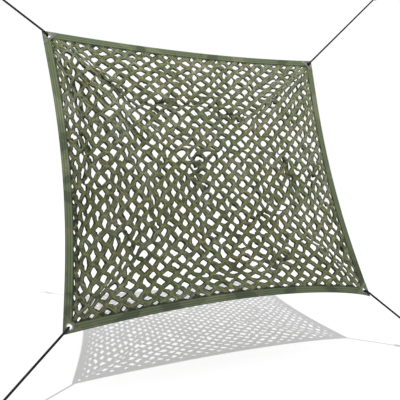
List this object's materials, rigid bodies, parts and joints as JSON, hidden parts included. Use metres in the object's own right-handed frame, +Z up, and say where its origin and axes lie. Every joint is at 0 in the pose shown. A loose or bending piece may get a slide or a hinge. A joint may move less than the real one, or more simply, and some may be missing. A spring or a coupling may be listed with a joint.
{
  "type": "camouflage net stretched between corner ropes",
  "caption": "Olive camouflage net with taped edges and corner eyelets, stretched by a rope at each corner and leaning back.",
  "frame": {"origin": "the middle of the net's top edge, where what holds it up is taken to hold it", "axes": "+X along the net's width to the right as seen from the front, +Z up, -Y towards the front; the net leans back towards +Y by 22.5 degrees from upright"},
  "size_m": [2.5831, 0.8899, 2.1353],
  "materials": {
    "net_cloth": "printed camouflage cloth, cut and pulled open into a mesh",
    "binding_tape": "woven tape in green camouflage, folded over the edge and stitched",
    "corner_patch": "grey-green coated cloth, creased",
    "eyelet_metal": "pressed, bright, lightly scuffed",
    "rope": "black braided polypropylene"
  },
  "bodies": {
    "root": {"net_panel": "net_cloth", "binding_left": "binding_tape", "binding_right": "binding_tape", "binding_top": "binding_tape", "binding_bottom": "binding_tape", "corner_patch_tl": "corner_patch", "eyelet_tl": "eyelet_metal", "rope_tl": "rope", "end_loop_tl": "rope", "stopper_knot_tl": "rope", "end_knot_tl": "rope", "corner_patch_tr": "corner_patch", "eyelet_tr": "eyelet_metal", "rope_tr": "rope", "end_loop_tr": "rope", "stopper_knot_tr": "rope", "end_knot_tr": "rope", "corner_patch_bl": "corner_patch", "eyelet_bl": "eyelet_metal", "rope_bl": "rope", "end_loop_bl": "rope", "stopper_knot_bl": "rope", "end_knot_bl": "rope", "corner_patch_br": "corner_patch", "eyelet_br": "eyelet_metal", "rope_br": "rope", "end_loop_br": "rope", "stopper_knot_br": "rope", "end_knot_br": "rope"}
  },
  "joints": []
}
